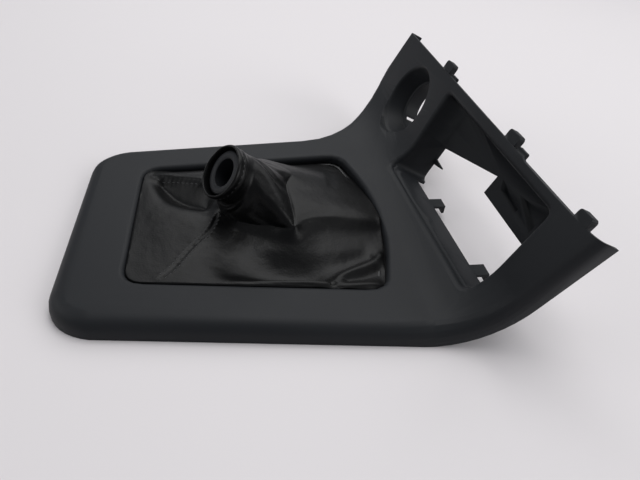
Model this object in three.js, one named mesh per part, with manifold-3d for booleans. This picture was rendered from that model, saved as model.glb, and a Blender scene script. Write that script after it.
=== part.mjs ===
// Gear lever surround of a car's centre console, with its leather gaiter.
// A moulded panel lies flat behind the lever and sweeps up towards the dashboard. It carries a dished
// socket hole and a boxed compartment opening in its raised front. The gaiter is a sewn leather boot:
// its hem is clamped under the panel by a moulded frame and six screws, and its neck ends in a plastic
// collar that slides over the gear lever.
// Millimetres. +X points forward to the dashboard, +Y to the left of the car, +Z up.

import * as THREE from 'three';
import { mergeVertices } from 'three/addons/utils/BufferGeometryUtils.js';
import Module from 'manifold-3d';

const wasm = await Module();
wasm.setup();

// Panel: plate, sweep and raised front
const PLATE_HEIGHT = 12;         // top of the flat plate above the surface that the skirt stands on
const WALL = 2.4;                // moulding thickness
const CORNER_X = 228.5;          // where the plate's and the raised front's planes would meet
const FRONT_TILT = THREE.MathUtils.degToRad(66);
const SWEEP_RADIUS = 45;         // sweep from plate to raised front, on the outer face
const FRONT_LENGTH = 76;         // from that meeting line to the dashboard edge
const REAR_HALF_WIDTH = 85;
const SIDE_SPLAY = 0.122;        // how much the half width grows per millimetre forward
const REAR_CORNER = 24;          // corner radius in plan
const REAR_ROUND = 9;            // roll of the plate's edge into its skirt
const DASH_ROUND = 5;            // the same at the dashboard edge
const WING_START = 158;          // where the left wing leaves the straight side
const WING_END = 262;            // where it has swept out in full
const WING_HALF_WIDTH = 170;     // reach of the left wing from the centre line
const WING_TAPER = 5;            // the wing narrows by this much up to the dashboard edge
// The dashboard edge as points (distance to the left, step back from FRONT_LENGTH), left to right
const DASH_TRIM = [
  [180, -1], [108, -0.4], [0, 0.4], [-46, 0.6], [-50, 1.6], [-90, 2], [-112, 1.3], [-120, 0.2], [-140, -1],
];

// Gaiter opening in the plate
const OPENING_REAR = 38;
const OPENING_FRONT = 187;
const OPENING_REAR_HALF = 58;
const OPENING_FRONT_HALF = 75;
const OPENING_BOW = 11.5;         // forward bow of the front edge
const OPENING_REAR_CORNER = 11;
const OPENING_FRONT_CORNER = 14;
const OPENING_STEPS = 7;         // chords along each side of the opening
const LIP_ROUND = 3.5;           // rounded lips of the openings
const LIP_DEPTH = 6.4;           // depth of the gaiter opening's lip below the plate's top

// Compartment opening in the raised front, from the meeting line and the centre line
const BAY_LOW_RIGHT = 6.6;       // the sill rises a little to the right
const BAY_LOW_LEFT = 2.6;
const BAY_HIGH = 67.2;
const BAY_RIGHT = -87;
const BAY_LEFT = 55.3;           // left side at the top
const BAY_SILL_LEFT = 50.5;      // the same at the sill
const BAY_REAR_LEFT = 48;        // the left wall leans in towards its rear edge
const BAY_CORNER = 5;
const BAY_DEPTH = 20;
const BAY_SILL_DEPTH = 13;       // the lower wall is shallower than the others
const BAY_WALL = 2.2;
const BACK_LOW_RIGHT = 37.4;     // lower edge of the back plate, right part
const BACK_STEP_Y = -19;         // where that edge steps up
const BACK_STEP_HIGH = 50.8;
const BACK_LOW_LEFT = 32;
const POCKET_DEPTH = 5;          // depth of the two pockets in the back plate
const POCKET_WALL = 1.6;
const CLIP_CENTRES = [8.8, -64.2];
const CLIP_WIDTH = 9.4;
const CLIP_REACH = 9.2;
const CLIP_DROP = 6;
const CLIP_THICKNESS = 1.8;
const FIN_PLACE = [17.2, 21.8];  // from the meeting line
const FIN_REACH = 13;

// Dished socket hole in the left wing
const SOCKET_HIGH = 38;          // from the meeting line
const SOCKET_Y = 103.3;
const DISH_RADIUS = 28.4;
const DISH_FLOOR_RADIUS = 22;
const DISH_DEPTH = 13.6;
const SOCKET_RADIUS = 19.5;
const SOCKET_DEPTH = 26.5;       // length of the tube below the panel's face
const SOCKET_WALL = 2;
const SOCKET_SLOT = 4;
const SOCKET_SLOT_TURN = THREE.MathUtils.degToRad(54);

// Ribs under the plate
const RIB_THICKNESS = 1.6;
const REAR_RIB = 19;
const SIDE_RIBS = [96, 126];

// Tabs on the dashboard edge
const TAB_CENTRES = [78, -28, -103.6];
const TAB_WIDTHS = [12, 12, 10];
const TAB_REACH = [7.2, 5.8, 3.8];   // past FRONT_LENGTH
const TAB_THICKNESS = 4.4;
const TONGUE_CENTRES = [65, -41];
const TONGUE_WIDTH = 9;
const TONGUE_REACH = 1.8;

// Gaiter, its hem, frame and screws
const LEATHER = 1.6;
const SEAT_GAP = 0.3;            // running clearance between clamped pieces
const LEATHER_TO_LIP = 0.6;
const HEM_REACH = 4;             // how far the hem lies under the panel, past the lip's inner face
const FRAME_THICKNESS = 2.2;
const FRAME_INSIDE = 4.6;        // the frame's inner edge, inside the opening's outline
const FRAME_OUTSIDE = 5;
const UPSTAND_WALL = 1.8;
const UPSTAND_HEIGHT = 3;        // above the frame's flange
const BOSS_OFFSET = 8.5;         // screw line outside the opening's outline
const BOSS_RADIUS = 3.4;
const LUG_RADIUS = 5.6;
const LUG_STEP_RADIUS = 4.1;     // the lug's raised middle, beside the hem
const LUG_RISE = 1.2;
const SCREW_RADIUS = 1.4;
const SCREW_LENGTH = 5.6;        // from under the head
const SCREW_HEAD_RADIUS = 3;
const SCREW_HEAD_HEIGHT = 1.4;
const SCREW_GAP = 0.2;

// Neck of the gaiter and its collar
const MOUTH = new THREE.Vector3(93.3, -1.3, 46);     // centre of the neck's mouth
const NECK_AXIS = new THREE.Vector3(-0.77, -0.25, 0.59).normalize();
const NECK_RADIUS = 16.6;        // outside of the leather at the mouth
const NECK_STRAIGHT = 3;         // the neck runs straight this far past the collar
const NECK_STEPS = 3;
// Where the neck rises from the skirt, counter-clockwise from the front
const NECK_FOOT = [
  [137, 2, 26], [136, 26, 31], [124, 40, 31], [108, 40, 27], [96, 26, 21],
  [92, 6, 17], [96, -9, 16], [106, -20, 17], [122, -28, 19], [138, -24, 20],
];
// Folds of the skirt: ridges with a positive height, valleys with a negative one
const CREASES = [
  { from: [140, -23], to: [197, -7], width: 8, height: 5 },
  { from: [112, -40], to: [176, -40], width: 13, height: -8 },
  { from: [98, -62], to: [176, -66], width: 7, height: 3.5 },
  { from: [52, 30], to: [84, 14], width: 9, height: -5 },
  { from: [44, 55], to: [80, 34], width: 7, height: 3 },
];
const SKIRT_STEPS = 9;
const COLLAR_BORE = 9.2;
const COLLAR_LENGTH = 16;
const COLLAR_INSET = 1.2;        // the collar sits this far inside the mouth

// Sizes that follow
const SWEEP_TANGENT = SWEEP_RADIUS * Math.tan(FRONT_TILT / 2);
const SWEEP_START = CORNER_X - SWEEP_TANGENT;
const SWEEP_ARC = SWEEP_RADIUS * FRONT_TILT;
const FRONT_OFFSET = SWEEP_START + SWEEP_ARC - SWEEP_TANGENT;  // turns a height on the front into unrolled length
const DASH_EDGE = FRONT_OFFSET + FRONT_LENGTH;
const HEM_TOP = PLATE_HEIGHT - LIP_DEPTH - SEAT_GAP;
const HEM_BOTTOM = HEM_TOP - LEATHER;
const SKIRT_EDGE = PLATE_HEIGHT - 2.6;                        // where the skirt leaves the lip
const FRAME_TOP = HEM_BOTTOM - SEAT_GAP;
const FRAME_BOTTOM = FRAME_TOP - FRAME_THICKNESS;
const LUG_TOP = FRAME_TOP + LUG_RISE;
const SCREW_SEAT = FRAME_BOTTOM + SCREW_HEAD_HEIGHT + SCREW_GAP;
const BEYOND = PLATE_HEIGHT + SWEEP_RADIUS;                   // takes a cutter past everything that it cuts

// Solids

function toManifold(geometry) {
  const bare = new THREE.BufferGeometry();
  bare.setAttribute('position', geometry.getAttribute('position'));
  if (geometry.index) bare.setIndex(geometry.index);
  const merged = mergeVertices(bare, 1e-4);
  const corners = [];
  for (let t = 0; t < merged.index.count; t += 3) {
    const [a, b, c] = [0, 1, 2].map((k) => merged.index.getX(t + k));
    if (a !== b && b !== c && c !== a) corners.push(a, b, c);
  }
  return new wasm.Manifold(new wasm.Mesh({
    numProp: 3,
    vertProperties: new Float32Array(merged.getAttribute('position').array),
    triVerts: new Uint32Array(corners),
  }));
}

function toGeometry(solid) {
  const mesh = solid.getMesh();
  const geometry = new THREE.BufferGeometry();
  const positions = new Float32Array(mesh.numVert * 3);
  for (let i = 0; i < mesh.numVert; i++) {
    for (let k = 0; k < 3; k++) positions[3 * i + k] = mesh.vertProperties[mesh.numProp * i + k];
  }
  geometry.setAttribute('position', new THREE.BufferAttribute(positions, 3));
  geometry.setIndex([...mesh.triVerts]);
  return geometry;
}

function join(solids) {
  return solids.reduce((whole, solid) => whole.add(solid));
}

// A closed solid through rings of equally many points, capped at both ends. Each ring is a list of Vector3.
function loft(rings, closed = false) {
  const count = rings[0].length;
  const positions = rings.flat().flatMap((p) => [p.x, p.y, p.z]);
  const index = [];
  const spans = closed ? rings.length : rings.length - 1;
  for (let r = 0; r < spans; r++) {
    const next = (r + 1) % rings.length;
    for (let i = 0; i < count; i++) {
      const j = (i + 1) % count;
      const a = r * count + i;
      const b = r * count + j;
      const c = next * count + j;
      const d = next * count + i;
      index.push(a, b, c, a, c, d);
    }
  }
  if (!closed) {
    const cap = (r, flip) => {
      const contour = rings[r].map((p) => new THREE.Vector2(p.x, p.y));
      for (const [a, b, c] of THREE.ShapeUtils.triangulateShape(contour, [])) {
        const [u, v, w] = [a + r * count, b + r * count, c + r * count];
        index.push(...(flip ? [u, w, v] : [u, v, w]));
      }
    };
    cap(0, true);
    cap(rings.length - 1, false);
  }
  const geometry = new THREE.BufferGeometry();
  geometry.setAttribute('position', new THREE.Float32BufferAttribute(positions, 3));
  geometry.setIndex(index);
  return geometry;
}

function extrude(outline, low, high) {
  const geometry = new THREE.ExtrudeGeometry(new THREE.Shape(outline), { depth: high - low, bevelEnabled: false });
  geometry.translate(0, 0, low);
  return toManifold(geometry);
}

function block(x0, x1, y0, y1, z0, z1) {
  const geometry = new THREE.BoxGeometry(x1 - x0, y1 - y0, z1 - z0);
  geometry.translate((x0 + x1) / 2, (y0 + y1) / 2, (z0 + z1) / 2);
  return toManifold(geometry);
}

function lathe(profile, x, y, segments = 36) {
  const points = profile.map(([r, z]) => new THREE.Vector2(r, z));
  if (THREE.ShapeUtils.isClockWise(points)) points.reverse();
  const geometry = new THREE.LatheGeometry(points, segments);
  geometry.rotateX(Math.PI / 2);
  geometry.translate(x, y, 0);
  return toManifold(geometry);
}

function pin(x, y, radius, low, high, segments = 16) {
  const geometry = new THREE.CylinderGeometry(radius, radius, high - low, segments);
  geometry.rotateX(Math.PI / 2);
  geometry.translate(x, y, (low + high) / 2);
  return toManifold(geometry);
}

// The panel is drawn unrolled: x is the length along its face, z the height over that face.

// Splits every triangle that crosses the plane x = at, so that the sheet can bend there.
function scoreAt(geometry, at) {
  const source = geometry.getAttribute('position');
  const points = [];
  for (let i = 0; i < source.count; i++) points.push([source.getX(i), source.getY(i), source.getZ(i)]);
  const side = points.map(([x]) => (Math.abs(x - at) < 1e-5 ? 0 : Math.sign(x - at)));
  const crossings = new Map();
  const crossing = (a, b) => {
    const key = a < b ? `${a},${b}` : `${b},${a}`;
    if (!crossings.has(key)) {
      const [low, high] = a < b ? [a, b] : [b, a];
      const share = (at - points[low][0]) / (points[high][0] - points[low][0]);
      crossings.set(key, points.length);
      points.push([at, ...[1, 2].map((k) => points[low][k] + share * (points[high][k] - points[low][k]))]);
    }
    return crossings.get(key);
  };
  const index = [];
  const old = geometry.index.array;
  for (let t = 0; t < old.length; t += 3) {
    let [a, b, c] = [old[t], old[t + 1], old[t + 2]];
    const signs = [side[a], side[b], side[c]];
    if (!(signs.includes(1) && signs.includes(-1))) {
      index.push(a, b, c);
      continue;
    }
    if (signs.includes(0)) {
      while (side[a] !== 0) [a, b, c] = [b, c, a];
      const m = crossing(b, c);
      index.push(a, b, m, a, m, c);
      continue;
    }
    while (side[b] !== side[c]) [a, b, c] = [b, c, a];
    const m = crossing(a, b);
    const n = crossing(a, c);
    index.push(a, m, n, m, b, c, m, c, n);
  }
  const scored = new THREE.BufferGeometry();
  scored.setAttribute('position', new THREE.Float32BufferAttribute(points.flat(), 3));
  scored.setIndex(index);
  return scored;
}

// Where a point of the unrolled panel lies on the real one
function bend(x, y, height) {
  const turn = THREE.MathUtils.clamp((x - SWEEP_START) / SWEEP_RADIUS, 0, FRONT_TILT);
  const past = Math.max(0, x - SWEEP_START - SWEEP_ARC);
  const before = Math.min(x, SWEEP_START);
  return new THREE.Vector3(
    before + (SWEEP_RADIUS - height) * Math.sin(turn) + past * Math.cos(turn),
    y,
    PLATE_HEIGHT + SWEEP_RADIUS - (SWEEP_RADIUS - height) * Math.cos(turn) + past * Math.sin(turn),
  );
}

function bendSolid(solid, steps = 9) {
  let geometry = toGeometry(solid);
  for (let k = 0; k <= steps; k++) geometry = scoreAt(geometry, SWEEP_START + (SWEEP_ARC * k) / steps);
  const position = geometry.getAttribute('position');
  for (let i = 0; i < position.count; i++) {
    const p = bend(position.getX(i), position.getY(i), position.getZ(i));
    position.setXYZ(i, p.x, p.y, p.z);
  }
  return toManifold(geometry);
}

// Unrolled length at which the face, seen square to the raised front, is at a height on that front
function unrolledFrom(high) {
  if (high >= SWEEP_TANGENT) return FRONT_OFFSET + high;
  return SWEEP_START + SWEEP_RADIUS * (FRONT_TILT - Math.asin((SWEEP_TANGENT - high) / SWEEP_RADIUS));
}

// Puts what is drawn on the raised front's own plane (x up the front, z out of it) in its place.
function onFront(solid) {
  const geometry = toGeometry(solid);
  geometry.rotateY(-FRONT_TILT);
  geometry.translate(CORNER_X, 0, PLATE_HEIGHT);
  return toManifold(geometry);
}

function halfWidth(x) {
  return REAR_HALF_WIDTH + SIDE_SPLAY * x;
}

// Outline of the unrolled panel, counter-clockwise from the rear right corner
function panelOutline() {
  const end = DASH_EDGE + 12;                    // past the dashboard edge, where it is cut square
  const path = new THREE.Path();
  path.moveTo(REAR_CORNER, -halfWidth(REAR_CORNER));
  for (let k = 1; k <= 8; k++) {
    const x = REAR_CORNER + ((end - REAR_CORNER) * k) / 8;
    path.lineTo(x, -halfWidth(x));
  }
  const wingTip = WING_HALF_WIDTH - WING_TAPER * ((end - WING_END) / (DASH_EDGE - WING_END));
  path.lineTo(end, wingTip);
  path.lineTo((end + WING_END) / 2, (wingTip + WING_HALF_WIDTH) / 2);
  path.lineTo(WING_END, WING_HALF_WIDTH);
  path.bezierCurveTo(
    WING_END - 44, WING_HALF_WIDTH + 3, WING_START + 48, halfWidth(WING_START) + 6,
    WING_START, halfWidth(WING_START),
  );
  path.lineTo((WING_START + REAR_CORNER) / 2, halfWidth((WING_START + REAR_CORNER) / 2));
  path.lineTo(REAR_CORNER, halfWidth(REAR_CORNER));
  path.bezierCurveTo(
    REAR_CORNER * 0.42, halfWidth(0), 0, REAR_HALF_WIDTH - REAR_CORNER * 0.45,
    0, REAR_HALF_WIDTH - REAR_CORNER,
  );
  path.lineTo(0, -(REAR_HALF_WIDTH - REAR_CORNER));
  path.bezierCurveTo(
    0, -(REAR_HALF_WIDTH - REAR_CORNER * 0.45), REAR_CORNER * 0.42, -halfWidth(0),
    REAR_CORNER, -halfWidth(REAR_CORNER),
  );
  const points = path.getPoints(9);
  return points.filter((p, i) => p.distanceTo(points[(i + 1) % points.length]) > 1e-3);
}

// Moves each point of a closed counter-clockwise outline inwards by its own distance
function inset(points, distance) {
  return points.map((p, i) => {
    const before = points[(i + points.length - 1) % points.length];
    const after = points[(i + 1) % points.length];
    const a = p.clone().sub(before).normalize();
    const b = after.clone().sub(p).normalize();
    const normal = new THREE.Vector2(-(a.y + b.y), a.x + b.x).normalize();
    const stretch = 1 / Math.max(0.5, normal.dot(new THREE.Vector2(-a.y, a.x)));
    return p.clone().addScaledVector(normal, distance(p) * stretch);
  });
}

function edgeRound(x) {
  const share = THREE.MathUtils.clamp((x - SWEEP_START) / (DASH_EDGE - SWEEP_START), 0, 1);
  return THREE.MathUtils.lerp(REAR_ROUND, DASH_ROUND, share);
}

// The panel's body with a rolled edge, inset by a wall: outside with wall 0, hollow with wall WALL
function rolledBody(outline, wall, depth) {
  const steps = 4;
  const rings = [];
  const ring = (offset, height) => inset(outline, offset).map((p, i) => (
    new THREE.Vector3(p.x, p.y, height(outline[i]))));
  rings.push(ring(() => wall, () => -depth));
  for (let k = 0; k <= steps; k++) {
    const angle = (k / steps) * (Math.PI / 2);
    const radius = (p) => edgeRound(p.x) - wall;
    rings.push(ring(
      (p) => wall + radius(p) * (1 - Math.cos(angle)),
      (p) => -wall - radius(p) * (1 - Math.sin(angle)),
    ));
  }
  return toManifold(loft(rings));
}

function halfOpening(x) {
  const splay = (OPENING_FRONT_HALF - OPENING_REAR_HALF) / (OPENING_FRONT - OPENING_REAR);
  return OPENING_REAR_HALF + (x - OPENING_REAR) * splay;
}

// Outline of the gaiter opening, moved outwards by an offset
function openingOutline(offset) {
  const rear = OPENING_REAR - offset;
  const front = OPENING_FRONT + offset;
  const half = (x) => halfOpening(x) + offset;
  const rearCorner = Math.max(2, OPENING_REAR_CORNER + offset);
  const frontCorner = Math.max(2, OPENING_FRONT_CORNER + offset);
  const path = new THREE.Path();
  const sideTo = (from, to, sign) => {
    for (let k = 1; k <= OPENING_STEPS; k++) {
      const x = THREE.MathUtils.lerp(from, to, k / OPENING_STEPS);
      path.lineTo(x, sign * half(x));
    }
  };
  path.moveTo(rear + rearCorner, -half(rear + rearCorner));
  sideTo(rear + rearCorner, front - frontCorner, -1);
  path.quadraticCurveTo(front, -half(front), front + 2, -half(front) + frontCorner);
  const frontHalf = half(front) - frontCorner;
  for (let k = 1; k <= OPENING_STEPS + 1; k++) {
    const share = (2 * k) / (OPENING_STEPS + 1) - 1;
    path.lineTo(front + 2 + (OPENING_BOW - 2) * (1 - share * share), share * frontHalf);
  }
  path.quadraticCurveTo(front, half(front), front - frontCorner, half(front - frontCorner));
  sideTo(front - frontCorner, rear + rearCorner, 1);
  path.quadraticCurveTo(rear, half(rear), rear, half(rear) - rearCorner);
  const rearHalf = half(rear) - rearCorner;
  for (let k = 1; k <= OPENING_STEPS; k++) path.lineTo(rear, rearHalf * (1 - (2 * k) / OPENING_STEPS));
  path.quadraticCurveTo(rear, -half(rear), rear + rearCorner, -half(rear + rearCorner));
  const points = path.getPoints(4);
  return points.filter((p, i) => p.distanceTo(points[(i + 1) % points.length]) > 1e-3);
}

// A four-cornered outline with rounded corners, moved outwards by an offset
function roundedQuad(corners, radius, offset) {
  const moved = inset(corners, () => -offset);
  const path = new THREE.Path();
  moved.forEach((corner, i) => {
    const before = moved[(i + 3) % 4].clone().sub(corner).normalize();
    const after = moved[(i + 1) % 4].clone().sub(corner);
    const length = after.length();
    after.normalize();
    const from = corner.clone().addScaledVector(before, radius + offset);
    if (i === 0) path.moveTo(from.x, from.y);
    const to = corner.clone().addScaledVector(after, radius + offset);
    path.quadraticCurveTo(corner.x, corner.y, to.x, to.y);
    for (let k = 1; k <= 4; k++) {
      const along = corner.clone().addScaledVector(
        after, THREE.MathUtils.lerp(radius + offset, length - radius - offset, k / 4));
      path.lineTo(along.x, along.y);
    }
  });
  const points = path.getPoints(5);
  return points.filter((p, i) => p.distanceTo(points[(i + 1) % points.length]) > 1e-3);
}

// The compartment opening as seen square to the raised front
function bayOutline(offset, left = [BAY_LEFT, BAY_SILL_LEFT]) {
  return roundedQuad([
    new THREE.Vector2(BAY_LOW_RIGHT, BAY_RIGHT), new THREE.Vector2(BAY_HIGH, BAY_RIGHT),
    new THREE.Vector2(BAY_HIGH, left[0]), new THREE.Vector2(BAY_LOW_LEFT, left[1]),
  ], BAY_CORNER, offset);
}

// The same on the unrolled panel, whose lower edge lies in the sweep
function bayOutlineUnrolled(offset) {
  return bayOutline(offset).map((p) => new THREE.Vector2(unrolledFrom(p.x), p.y));
}

// How high the sill lies on the raised front at a distance from the centre line
function sillAt(y) {
  return THREE.MathUtils.mapLinear(y, BAY_RIGHT, BAY_SILL_LEFT, BAY_LOW_RIGHT, BAY_LOW_LEFT);
}

// A cutter that follows an outline and flares to a rounded lip at the face
function lipCutter(outlineAt, depth, radius, faceHeight = 0) {
  const rings = [];
  const ring = (offset, height) => {
    rings.push(outlineAt(offset).map((p) => new THREE.Vector3(p.x, p.y, height)));
  };
  ring(0, -depth);
  const steps = 4;
  for (let k = 0; k <= steps; k++) {
    const angle = (k / steps) * (Math.PI / 2);
    ring(radius * (1 - Math.cos(angle)), faceHeight - radius * (1 - Math.sin(angle)));
  }
  ring(radius, faceHeight + 3);
  return toManifold(loft(rings));
}

// Sub-parts

// Points on the screw line around the gaiter opening, with the direction out of the opening
function screwPlaces() {
  const side = (x) => halfOpening(x) + BOSS_OFFSET;
  const places = [];
  for (const share of [0.22, 0.76]) {
    const x = THREE.MathUtils.lerp(OPENING_REAR, OPENING_FRONT, share);
    places.push([x, side(x)], [x, -side(x)]);
  }
  places.push([OPENING_REAR - BOSS_OFFSET, 0], [OPENING_FRONT + OPENING_BOW + BOSS_OFFSET, 0]);
  return places;
}

// The plate and raised front as one sheet, with the rolled edges and the lip of the gaiter opening
function panelSheet() {
  const outline = panelOutline();
  const shell = rolledBody(outline, 0, PLATE_HEIGHT).subtract(rolledBody(outline, WALL, PLATE_HEIGHT + 4));
  const lip = extrude(openingOutline(WALL), -LIP_DEPTH, -WALL / 2);
  const opening = lipCutter(openingOutline, PLATE_HEIGHT + 6, LIP_ROUND);
  const dashCut = extrude([
    ...DASH_TRIM.map(([y, back]) => new THREE.Vector2(DASH_EDGE - back, y)),
    new THREE.Vector2(DASH_EDGE + BEYOND, DASH_TRIM.at(-1)[0]), new THREE.Vector2(DASH_EDGE + BEYOND, DASH_TRIM[0][0]),
  ], -BEYOND, BEYOND);
  return bendSolid(shell.add(lip).subtract(opening).subtract(dashCut));
}

// Bosses under the plate that the frame's screws bite into
function screwBosses() {
  return join(screwPlaces().map(([x, y]) => (
    pin(x, y, BOSS_RADIUS, LUG_TOP + SEAT_GAP, PLATE_HEIGHT - WALL / 2))));
}

function screwPilots() {
  return join(screwPlaces().map(([x, y]) => (
    pin(x, y, SCREW_RADIUS + SCREW_GAP, LUG_TOP - 1, SCREW_SEAT + SCREW_LENGTH + SEAT_GAP))));
}

function outlineOf(points) {
  return points.map(([x, y]) => new THREE.Vector2(x, y));
}

// Everything under the middle of the sheet's wall, which trims what is built on the raised front's plane
function underFace() {
  return bendSolid(block(
    SWEEP_START - 20, DASH_EDGE + 40, -halfWidth(DASH_EDGE), WING_HALF_WIDTH, -SWEEP_RADIUS + 2, -WALL / 2,
  ));
}

// A prism between the compartment's outline at its rear and at the face
function bayPrism(offset, rear) {
  const sections = [[rear, [BAY_REAR_LEFT, BAY_REAR_LEFT]], [-LIP_ROUND], [SWEEP_TANGENT + offset]];
  return toManifold(loft(sections.map(([height, left]) => (
    bayOutline(offset, left).map((p) => new THREE.Vector3(p.x, p.y, height))))));
}

// The four walls of the compartment opening
function bayWalls() {
  const walls = bayPrism(BAY_WALL, -BAY_DEPTH - WALL);
  const hollow = bayPrism(0, -BAY_DEPTH - WALL - 0.01);
  const sillGap = block(
    BAY_LOW_LEFT - 3 * BAY_WALL, BAY_LOW_RIGHT + BAY_CORNER, BAY_RIGHT + BAY_CORNER, BAY_REAR_LEFT - BAY_CORNER,
    -BAY_DEPTH - WALL - 1, -BAY_SILL_DEPTH,
  );
  return walls.subtract(hollow).subtract(sillGap);
}

// The plate behind the upper part of the compartment, with two blind pockets
function bayBack() {
  const back = extrude(outlineOf([
    [BACK_LOW_RIGHT, BAY_RIGHT - BAY_WALL / 2], [BAY_HIGH + BAY_WALL / 2, BAY_RIGHT - BAY_WALL / 2],
    [BAY_HIGH + BAY_WALL / 2, BAY_REAR_LEFT + BAY_WALL / 2], [BACK_LOW_LEFT, BAY_REAR_LEFT + BAY_WALL / 2],
    [BACK_STEP_HIGH, BACK_STEP_Y], [BACK_LOW_RIGHT, BACK_STEP_Y],
  ]), -BAY_DEPTH - WALL, -BAY_DEPTH);
  const floor = -BAY_DEPTH - POCKET_DEPTH;
  const pockets = [
    [[45, -50.8], [48.4, -51.6], [52.6, -24.5], [47.2, -29]],
    [[44.6, -69.6], [58.6, -70], [54.4, -45.2]],
  ].map(outlineOf);
  const shells = pockets.map((points) => extrude(inset(points, () => -POCKET_WALL), floor - POCKET_WALL, -BAY_DEPTH));
  const cuts = pockets.map((points) => extrude(points, floor, -BAY_DEPTH + 1));
  return back.add(join(shells)).subtract(join(cuts));
}

// Hooked spring clips behind the sill of the compartment: level arms with a drop at their ends
function bayClips() {
  return join(CLIP_CENTRES.map((y) => {
    const root = new THREE.Vector3(sillAt(y), 0, -BAY_SILL_DEPTH).applyAxisAngle(
      new THREE.Vector3(0, 1, 0), -FRONT_TILT);
    const x = CORNER_X + root.x;
    const z = PLATE_HEIGHT + root.z;
    const [right, left] = [y - CLIP_WIDTH / 2, y + CLIP_WIDTH / 2];
    const arm = block(x - 3, x + CLIP_REACH, right, left, z - CLIP_THICKNESS, z);
    const drop = block(x + CLIP_REACH - CLIP_THICKNESS, x + CLIP_REACH, right, left, z - CLIP_DROP, z);
    return arm.add(drop);
  }));
}

// A pointed rib at the rear edge of the left wall
function bayFin() {
  const [low, high] = FIN_PLACE;
  return extrude(outlineOf([
    [high, BAY_REAR_LEFT + BAY_WALL / 2], [low, BAY_REAR_LEFT + BAY_WALL / 2],
    [high - 1.2, BAY_REAR_LEFT - FIN_REACH], [high - 0.4, BAY_REAR_LEFT - FIN_REACH],
  ]), -BAY_DEPTH - WALL, -BAY_DEPTH - WALL + POCKET_WALL);
}

function bayBox() {
  return onFront(join([bayWalls(), bayBack(), bayFin()])).add(bayClips());
}

// Dished wall and tube of the socket hole
function socketDish() {
  const outer = DISH_RADIUS + SOCKET_WALL;
  return onFront(lathe([
    [0, SWEEP_TANGENT], [outer + 1, SWEEP_TANGENT], [outer + 1, -WALL], [outer, -WALL - 1],
    [DISH_FLOOR_RADIUS + SOCKET_WALL, -DISH_DEPTH - SOCKET_WALL],
    [SOCKET_RADIUS + SOCKET_WALL, -DISH_DEPTH - SOCKET_WALL], [SOCKET_RADIUS + SOCKET_WALL, -SOCKET_DEPTH],
    [0, -SOCKET_DEPTH],
  ], SOCKET_HIGH, SOCKET_Y));
}

// What the socket hole takes away: the dish, the bore and a slot in the tube's wall
function socketHollow() {
  const lip = 1.2;
  const hole = lathe([
    [0, -SOCKET_DEPTH - 3], [SOCKET_RADIUS, -SOCKET_DEPTH - 3], [SOCKET_RADIUS, -DISH_DEPTH - 0.8],
    [SOCKET_RADIUS + 0.6, -DISH_DEPTH], [DISH_FLOOR_RADIUS, -DISH_DEPTH], [DISH_RADIUS - lip, -2.4],
    [DISH_RADIUS - 0.3, -0.8], [DISH_RADIUS + lip, 0.2], [DISH_RADIUS + lip, SWEEP_TANGENT],
    [0, SWEEP_TANGENT],
  ], SOCKET_HIGH, SOCKET_Y);
  const reach = SOCKET_RADIUS + SOCKET_WALL + 2;
  const slot = toGeometry(block(
    -SOCKET_SLOT / 2, SOCKET_SLOT / 2, 0, reach, -SOCKET_DEPTH - 3, -DISH_DEPTH - SOCKET_WALL - 1,
  ));
  slot.rotateZ(SOCKET_SLOT_TURN);
  slot.translate(SOCKET_HIGH, SOCKET_Y, 0);
  return onFront(hole.add(toManifold(slot)));
}

// Locating tabs that slide under the dashboard's edge
function dashTabs() {
  const tab = (y, width, reach, top, thickness) => {
    const r = Math.min(2.2, reach / 2);
    const path = new THREE.Path();
    path.moveTo(FRONT_LENGTH - 5, y - width / 2);
    path.lineTo(FRONT_LENGTH + reach - r, y - width / 2);
    path.absarc(FRONT_LENGTH + reach - r, y - width / 2 + r, r, -Math.PI / 2, 0);
    path.absarc(FRONT_LENGTH + reach - r, y + width / 2 - r, r, 0, Math.PI / 2);
    path.lineTo(FRONT_LENGTH - 5, y + width / 2);
    return extrude(path.getPoints(4), top - thickness, top);
  };
  const tabs = TAB_CENTRES.map((y, i) => tab(y, TAB_WIDTHS[i], TAB_REACH[i], -1, TAB_THICKNESS));
  const tongues = TONGUE_CENTRES.map((y) => tab(y, TONGUE_WIDTH, TONGUE_REACH, -WALL + 0.4, 2.4));
  return onFront(join([...tabs, ...tongues]));
}

// Stiffening ribs under the plate and the raised front
function ribs() {
  const rib = (x, from, to) => block(
    x - RIB_THICKNESS / 2, x + RIB_THICKNESS / 2, from, to, HEM_TOP + SEAT_GAP - PLATE_HEIGHT, 0);
  const solids = [rib(REAR_RIB, -halfWidth(REAR_RIB), halfWidth(REAR_RIB))];
  for (const x of SIDE_RIBS) {
    solids.push(rib(x, halfOpening(x) + WALL / 2, halfWidth(x)));
    solids.push(rib(x, -halfWidth(x), -halfOpening(x) - WALL / 2));
  }
  return join(solids).intersect(rolledBody(panelOutline(), WALL / 2, PLATE_HEIGHT)).translate(0, 0, PLATE_HEIGHT);
}

function surroundPanel() {
  const bayLip = bendSolid(lipCutter(bayOutlineUnrolled, LIP_ROUND, LIP_ROUND));
  const bayHollow = onFront(extrude(bayOutline(0), -BAY_SILL_DEPTH + 2, SWEEP_TANGENT));
  return panelSheet()
    .add(ribs())
    .add(screwBosses())
    .subtract(screwPilots())
    .subtract(bayHollow)
    .add(bayBox().add(socketDish()).intersect(underFace()))
    .subtract(bayLip)
    .add(dashTabs())
    .subtract(socketHollow());
}

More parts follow.
